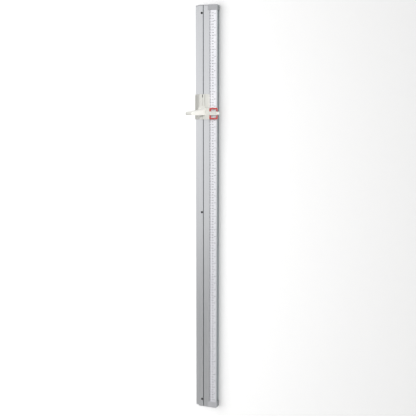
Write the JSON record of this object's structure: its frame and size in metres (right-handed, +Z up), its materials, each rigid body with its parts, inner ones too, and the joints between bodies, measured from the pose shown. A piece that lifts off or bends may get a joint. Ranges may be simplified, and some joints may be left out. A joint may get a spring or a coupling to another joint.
{
  "type": "wall height measuring rod",
  "caption": "Tall wall-mounted slotted aluminium rail with a printed scale and end caps, and a sliding headpiece with a projecting plate and a red-framed reading window.",
  "frame": {"origin": "centre of the rail's flat back face, at mid height, on the wall plane", "axes": "+Z up along the rail, +X to the right as seen from the front, +Y into the wall; the headpiece stands off towards -Y"},
  "size_m": [0.0917, 0.168, 1.512],
  "materials": {
    "anodised": "satin anodised, fine lengthwise grain",
    "cap_plastic": "silver-grey moulded plastic",
    "strip_print": "bluish white printed strip with centimetre and inch ticks",
    "black_steel": "black coated",
    "zinc_steel": "zinc plated",
    "spring_steel": "bare spring steel",
    "cream_plastic": "fine moulded texture, slightly warm white",
    "dark_plastic": "dark grey moulded",
    "pale_plastic": "natural acetal",
    "red_plastic": "semi-gloss red",
    "clear_plastic": "clear moulded"
  },
  "bodies": {
    "wall_rail": {"rail_profile": "anodised", "scale_strip": "strip_print", "end_cap_top": "cap_plastic", "end_cap_bottom": "cap_plastic", "cap_screw_top_1": "zinc_steel", "cap_screw_top_2": "zinc_steel", "cap_screw_bottom_1": "zinc_steel", "cap_screw_bottom_2": "zinc_steel", "wall_screw_top": "black_steel", "wall_screw_middle": "black_steel", "wall_screw_bottom": "black_steel"},
    "headpiece": {"carriage": "dark_plastic", "glide_pad_1": "pale_plastic", "glide_pad_2": "pale_plastic", "glide_pad_3": "pale_plastic", "glide_pad_4": "pale_plastic", "brake_spring": "spring_steel", "cover_left": "cream_plastic", "cover_right": "cream_plastic", "measuring_plate": "cream_plastic", "head_screw_1": "zinc_steel", "head_screw_2": "zinc_steel", "head_screw_3": "zinc_steel", "head_screw_4": "zinc_steel", "window_arm": "cream_plastic", "window_bracket_upper": "red_plastic", "window_bracket_lower": "red_plastic", "window_lens": "clear_plastic", "side_glider": "pale_plastic"}
  },
  "joints": [
    {"name": "head_slide", "type": "slide", "parent": "wall_rail", "child": "headpiece", "axis": [0, 0, 1], "range_m": [-1.0745, 0.298]}
  ]
}
